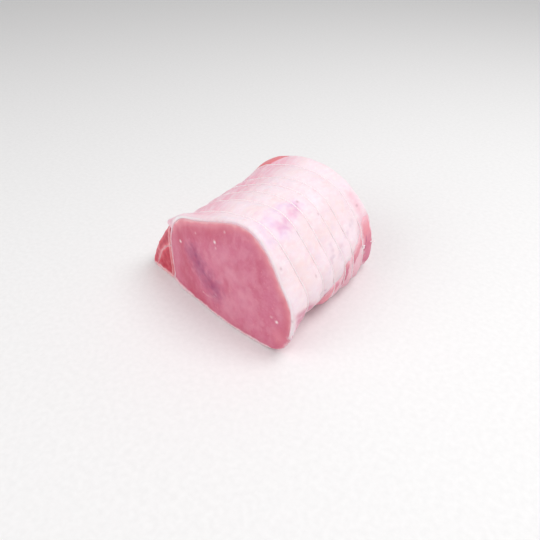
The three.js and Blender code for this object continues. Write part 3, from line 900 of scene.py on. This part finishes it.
# %% The fat cap
FAT_SWELL = 0.22           # in mm
LUMP_HEIGHT = 0.3
FOLD_HEIGHT = 0.14
PUCKER_REACH = 4.5         # how far the puckers run away from a string


def fat_relief(points, normals, strings):
    puckers = lumps(points, (2.8, 9, 2.8), 7.0) * np.exp(-((strings / PUCKER_REACH) ** 2))
    folds = FOLD_HEIGHT * lumps(points, (4, 24, 4), 27.0)
    loose = 0.26 + 0.2 * ramp(points[:, 0], 15, -15)
    soft = LUMP_HEIGHT * lumps(points, (10, 12, 10), 2.0)
    return (1 - on_cut(normals)) * (soft + loose * puckers + folds)


fat = rounded_copy("fat_cap", "back_fat")
refine(fat, free_side("fat_cap"), largest=0.75)
thin_the_edge(fat)
round_the_cut(fat)
points, normals = shape(fat, FAT_SWELL, fat_relief)
print("the fat cap spans, mm:", np.ptp(points, axis=0).round(1))

# %% [markdown]
# Its masks are made as for the muscle. The grooves under the strings get a faint tint of painted
# shade as well.

# %% The fat cap: pinks
x, y, z = points.T
cut = on_cut(normals)
height = above_edge(points)
uneven = lumps(points, (6, 8, 6), 4.0)
fine = lumps(points, (2.5, 4, 2.5), 19.0)
to_lean = np.min([from_solid(points, lean) for lean in MEAT_NODES[:3]], axis=0)

shoulder = 0.95 * ramp(x, 12, -20) * ramp(uneven, -1.4, 0.2)
rear_blush = 0.6 * line(points, REAR_BLUSH, width=5, blur=9, wobble=1.5)
shoulder = np.maximum(shoulder, rear_blush) * (0.3 + 0.7 * ramp(from_cuts(points, normals), 1, 6))
rear_edge = 0.7 * ramp(height, 7, 0.5) * ramp(y, 12, 24)
# Painted shade: a faint darker pink line along the groove under each string.
painted_groove_shade = 0.22 * np.exp(-((from_strings(points) / 1.1) ** 2))
seam = ramp(x, -36, -40)
on_sides = (1 - cut) * (np.maximum(shoulder, rear_edge) + painted_groove_shade)
on_cuts = cut * np.maximum(0.7 * ramp(to_lean, 1.2, 0.2), 0.8 * seam)
put_mask(fat, "blush", on_sides + on_cuts)
peach = line(points, PEACH, width=10, blur=16)
put_mask(fat, "peach", 0.45 * peach * ramp(fine, -0.6, 0.5))
print("share of the fat that is pink:", round((on_sides > 0.3).mean(), 2))

# %% [markdown]
# The bruise is lilac where it is faint and magenta where it is strong. Faint mauve shades lie on
# the fat of the right side, the shade inside two short slits is painted as darker lines, and the
# vessels are small spots.

# %% The fat cap: bruise, shades and vessels
lilac = lines(points, LILAC, width=5, blur=8, wobble=1.5)
put_mask(fat, "lilac", 0.7 * lilac * ramp(uneven, -1.0, 0.2))
magenta = lines(points, MAGENTA, width=5, blur=8, wobble=1.6)
put_mask(fat, "stain", 0.65 * magenta * ramp(fine, -1.2, 0.2))
shades = 0.5 * lines(points, SHADES, width=3.5, blur=5, wobble=1.8) * ramp(fine, -0.6, 0.5)
painted_slit_shade = 0.9 * lines(points, SLIT_SHADE_ROUTES, width=0.9, blur=0.9)
put_mask(fat, "shade", np.maximum(shades, painted_slit_shade))
put_mask(fat, "vessel", 0.55 * spots(points, SMALL_VESSELS, width=1.3, blur=1.6))

# %% [markdown]
# The cut edge and the ragged lower edge are the whitest. On the cut the white is partly the fat's
# own and partly painted light, which brightens a face that the lamps leave dim. The thin fat at the
# front, and the lean that lies bare at the rear rim, end the list.

# %% The fat cap: white, thin and bare
# Partly painted light: the cut fat is whiter, and is made brighter here than its lighting leaves it.
white_cut_and_painted_light = 0.95 * cut * ramp(to_lean, 0.3, 1.3) * (1 - seam)
white_edge = 0.75 * ramp(height + 0.5 * fine, 1.6, 0.4) * ramp(y, -42, -36)
put_mask(fat, "white", np.maximum(white_cut_and_painted_light, white_edge))

over_thin = z - np.interp(y, *THIN_TOP)
thin = ramp(over_thin + 1.5 * fine, 2, -2) * ramp(y, -34, -41) * ramp(y, -61, -56)
thin *= x > RIGHT_HALF
put_mask(fat, "thin", thin * (0.6 + 0.35 * ramp(fine, -0.5, 0.5)))

behind_bare = y - np.interp(x, *BARE_FROM)
bare = 0.9 * ramp(behind_bare + 1.6 * fine, -1.2, 1.2) * ramp(z + 4 * uneven, 38, 48)
put_mask(fat, "bare", bare)
finish(fat, "fat_cap", back_fat)

# %% [markdown]
# ## The string
#
# String for roasts is thin cotton, twisted from three strands. A taut loop touches the meat only
# where the meat bulges, and runs straight across each hollow. So its route is the tight outline
# round the slice of meat that its plane cuts, a convex hull. It can't be drawn by hand, since
# it depends on every bulge, so its points are computed as arrays.

# %% The slice of meat in a loop's plane, and its hull
MEAT = [eye, *outer_pieces, fat]


def slice_points(plane_at, normal):
    """Where the meat's edges cross a plane."""
    found = []
    for piece in MEAT:
        points = points_of(piece)
        ends = np.empty(len(piece.data.edges) * 2, np.int32)
        piece.data.edges.foreach_get("vertices", ends)
        a, b = points[ends.reshape(-1, 2).T]
        from_a, from_b = (a - plane_at) @ normal, (b - plane_at) @ normal
        crossed = from_a * from_b < 0
        share = (from_a / np.where(crossed, from_a - from_b, 1))[crossed, None]
        found.append(a[crossed] + share * (b - a)[crossed])
    return np.vstack(found)


def hull(flat):
    """Indices of the convex hull of flat points, anticlockwise."""
    order = sorted(range(len(flat)), key=lambda i: tuple(flat[i]))

    def chain(indices):
        kept = []
        for i in indices:
            while len(kept) > 1:
                u, w = flat[kept[-1]] - flat[kept[-2]], flat[i] - flat[kept[-2]]
                if u[0] * w[1] - u[1] * w[0] > 0:
                    break
                kept.pop()
            kept.append(i)
        return kept[:-1]

    return chain(order) + chain(order[::-1])


# %% [markdown]
# The hull's corners are far apart and sharp, so the route is stepped off evenly and smoothed. It
# is then moved out to the middle of the string, less what the string sinks into the meat.

# %% A taut route round the meat
STRING_RADIUS = 0.45       # in mm
SINK = 0.5                 # how deep its lower side lies in the meat
ROUTE_STEP = 0.4
SMOOTHINGS = 12


def taut_route(plane_at, normal):
    """Evenly spaced places of a closed loop, in mm, and the outward direction at each."""
    right = np.cross(normal, (0, 0, 1))
    right /= np.linalg.norm(right)
    up = np.cross(right, normal)
    cloud = slice_points(plane_at, normal)
    flat = np.c_[(cloud - plane_at) @ right, (cloud - plane_at) @ up]
    ring = flat[hull(flat)]
    closed = np.vstack([ring, ring[:1]])
    lengths = np.r_[0, np.cumsum(np.linalg.norm(np.diff(closed, axis=0), axis=1))]
    at = np.linspace(0, lengths[-1], int(lengths[-1] / ROUTE_STEP), endpoint=False)
    route = np.c_[np.interp(at, lengths, closed[:, 0]), np.interp(at, lengths, closed[:, 1])]
    for _ in range(SMOOTHINGS):
        route = (np.roll(route, 1, 0) + 2 * route + np.roll(route, -1, 0)) / 4
    ahead = np.roll(route, -1, 0) - np.roll(route, 1, 0)
    out = np.c_[ahead[:, 1], -ahead[:, 0]] / np.linalg.norm(ahead, axis=1)[:, None]
    out *= np.sign(((route - route.mean(0)) * out).sum())
    route = route + out * (STRING_RADIUS - SINK)
    route = plane_at + route[:, :1] * right + route[:, 1:] * up
    route[:, 2] = np.maximum(route[:, 2], STRING_RADIUS)
    return route, out[:, :1] * right + out[:, 1:] * up


# %% [markdown]
# Seen from its end, string twisted from three strands has three lobes. The section is swept along
# the route, and its lobes turn as it goes, which draws the twist. On a closed loop the turns are
# rounded to whole lobes, so that the ends meet.

# %% Three lobes, swept along a route
LOBES = 3
SIDES = 12                 # corners of the section
TWIST_LENGTH = 5.0         # in mm, one full turn of the strands
LOBE_DEPTH = 0.12          # of the radius


def tube_faces(count, closed):
    """The faces between this many rings of corners."""
    faces = []
    for i in range(count if closed else count - 1):
        here, there = i * SIDES, (i + 1) % count * SIDES
        for s in range(SIDES):
            t = (s + 1) % SIDES
            faces.append((here + s, there + s, there + t, here + t))
    if not closed:
        faces.append(tuple(range(SIDES)))
        faces.append(tuple((count - 1) * SIDES + s for s in reversed(range(SIDES))))
    return faces


def swept(route, outs, closed, radius=STRING_RADIUS):
    """Corners and faces of a lobed string along a route."""
    along = np.roll(route, -1, 0) - np.roll(route, 1, 0) if closed else np.gradient(route, axis=0)
    along /= np.linalg.norm(along, axis=1)[:, None]
    across = np.cross(outs, along)
    across /= np.linalg.norm(across, axis=1)[:, None]
    outs = np.cross(along, across)
    run = np.r_[0, np.cumsum(np.linalg.norm(np.diff(route, axis=0), axis=1))]
    turns = run / TWIST_LENGTH
    if closed:
        whole = run[-1] + np.linalg.norm(route[0] - route[-1])
        turns = run / whole * round(LOBES * whole / TWIST_LENGTH) / LOBES
    angle = 2 * np.pi * np.arange(SIDES) / SIDES
    lobe_angle = LOBES * (angle[None, :] - 2 * np.pi * turns[:, None])
    lobes = 1 - LOBE_DEPTH + LOBE_DEPTH * np.cos(lobe_angle)
    ring = (np.cos(angle)[None, :, None] * outs[:, None, :]
            + np.sin(angle)[None, :, None] * across[:, None, :])
    corners = route[:, None, :] + np.reshape(radius, (-1, 1, 1)) * lobes[:, :, None] * ring
    return corners.reshape(-1, 3), tube_faces(len(route), closed)


# %% [markdown]
# Each loop is closed by a small tight knot with two short tails. A trefoil curve drawn small is
# a fair picture of such a knot. The first five knots sit in a row on the left side, and the
# rearmost one, whose long tail sticks out past the outline, is on the right.

# %% Knots and tails
KNOT_SIZE = 0.42           # in mm, a third of the way from the knot's middle to its farthest bend
KNOT_RADIUS = 0.42         # in mm, pulled a little thinner than the loop
KNOT_HEIGHT = 0.7          # in mm, above the middle of the loop's string
KNOT_POINTS = 60
TAIL_POINTS = 16
TAIL_SMOOTHINGS = 6
FRAYED = 0.68              # in mm, the radius where the cut end frays
TAIL_RADIUS = np.interp(np.arange(TAIL_POINTS), [10, TAIL_POINTS - 1], [KNOT_RADIUS, FRAYED])
LEFT_SIDE = math.radians(155)
RIGHT_SIDE = math.radians(8)
TAILS = [                  # places in mm along the loop, across it and outwards
    [(0, 0, 0), (2.2, 1.2, 0.5), (4, 1.8, 0.6), (5.5, 2, 0.9)],
    [(0, 0, 0), (2, -1.4, 0.6), (3.4, -2.4, 0.8), (4.6, -3, 1.1)],
]
REAR_TAILS = [
    [(0, 0, 0), (-0.6, -3, -1.3), (-1.6, -6.5, -2.2), (-2, -9, -1.9), (-2.4, -11.2, 0.3)],
    [(0, 0, 0), (-1, 2, 0.4), (-2.4, 3, 0.6), (-3.6, 3.6, 0.8)],
]


def tail_route(places):
    """A smooth open route through a few places."""
    places = np.array(places, float)
    at = np.linspace(0, len(places) - 1, TAIL_POINTS)
    route = np.c_[tuple(np.interp(at, range(len(places)), places[:, k]) for k in range(3))]
    for _ in range(TAIL_SMOOTHINGS):
        route[1:-1] = (route[:-2] + 2 * route[1:-1] + route[2:]) / 4
    return route


def knot_route():
    t = np.linspace(0, 2 * np.pi, KNOT_POINTS, endpoint=False)
    trefoil = np.c_[np.sin(t) + 2 * np.sin(2 * t), np.cos(t) - 2 * np.cos(2 * t), -np.sin(3 * t)]
    return KNOT_SIZE * trefoil


print("a knot is", round(np.ptp(knot_route()[:, 0]) + 2 * KNOT_RADIUS, 1), "mm wide")

# %% [markdown]
# The loop, the knot and the tails of one string are joined to one mesh. Operators then make all
# its normals point outwards.

# %% Join the parts of a string
def joined(name, parts):
    """One object from several lists of corners and faces."""
    corners, faces, first = [], [], 0
    for part_corners, part_faces in parts:
        faces += [tuple(first + v for v in face) for face in part_faces]
        corners.append(part_corners)
        first += len(part_corners)
    mesh = bpy.data.meshes.new(name)
    mesh.from_pydata((np.vstack(corners) * MM).tolist(), [], faces)
    piece = bpy.data.objects.new(name, mesh)
    bpy.context.scene.collection.objects.link(piece)
    only(piece)
    bpy.ops.object.mode_set(mode="EDIT")
    bpy.ops.mesh.select_all(action="SELECT")
    bpy.ops.mesh.normals_make_consistent(inside=False)
    bpy.ops.object.mode_set(mode="OBJECT")
    bpy.ops.object.shade_smooth()
    return piece


# %% [markdown]
# A knot is turned to lie flat on the meat: its axes are the string's direction, the direction
# across it, and outwards. It sits where the loop faces the wanted side most directly.

# %% Tie the strings
def tie(node, name, facing_angle, tails):
    route, outs = taut_route(*PLANES[node])
    facing = np.array([math.cos(facing_angle), 0, math.sin(facing_angle)])
    i = int((outs @ facing).argmax())
    along = route[(i + 1) % len(route)] - route[i - 1]
    along /= np.linalg.norm(along)
    axes = np.array([along, np.cross(outs[i], along), outs[i]])
    knot_at = route[i] + outs[i] * KNOT_HEIGHT
    knot = knot_at + knot_route() @ axes
    knot_outs = np.cross(np.roll(knot, -1, 0) - knot, axes[1])
    parts = [swept(route, outs, True), swept(knot, knot_outs, True, KNOT_RADIUS)]
    for tail in tails:
        places = knot_at + tail_route(tail) @ axes
        tail_outs = np.repeat(outs[i:i + 1], len(places), 0)
        parts.append(swept(places, tail_outs, False, TAIL_RADIUS))
    finish(joined(name, parts), node, cotton)


for number, node in enumerate(STRINGS, 1):
    if node == STRINGS[-1]:
        tie(node, f"tied_string_{number}", RIGHT_SIDE, REAR_TAILS)
    else:
        tie(node, f"tied_string_{number}", LEFT_SIDE, TAILS)

# %% [markdown]
# ## Floor
#
# A large sheet of pale paper lies under the roast. It isn't part of the object.

# %% Floor
FLOOR_SIDE = 6             # in metres
PAPER_FIBRES = (3, 3, 3)   # in mm, drawn coarse enough to show

bpy.ops.object.select_all(action="DESELECT")
bpy.ops.mesh.primitive_plane_add(size=FLOOR_SIDE, location=(0, 0, 0))
floor = bpy.context.object
floor.name = "floor"
paper, node = new_material("pale_paper")
tone = layered(node, "EFEEEE", [("F4F3F3", grain(node, PAPER_FIBRES, 0.3, 0.7))])
surface = node("BsdfPrincipled", None, Base_Color=tone, Roughness=0.7)
node("OutputMaterial", None, Surface=surface.outputs[0])
floor.data.materials.append(paper)
print("the floor is", FLOOR_SIDE, "m wide")
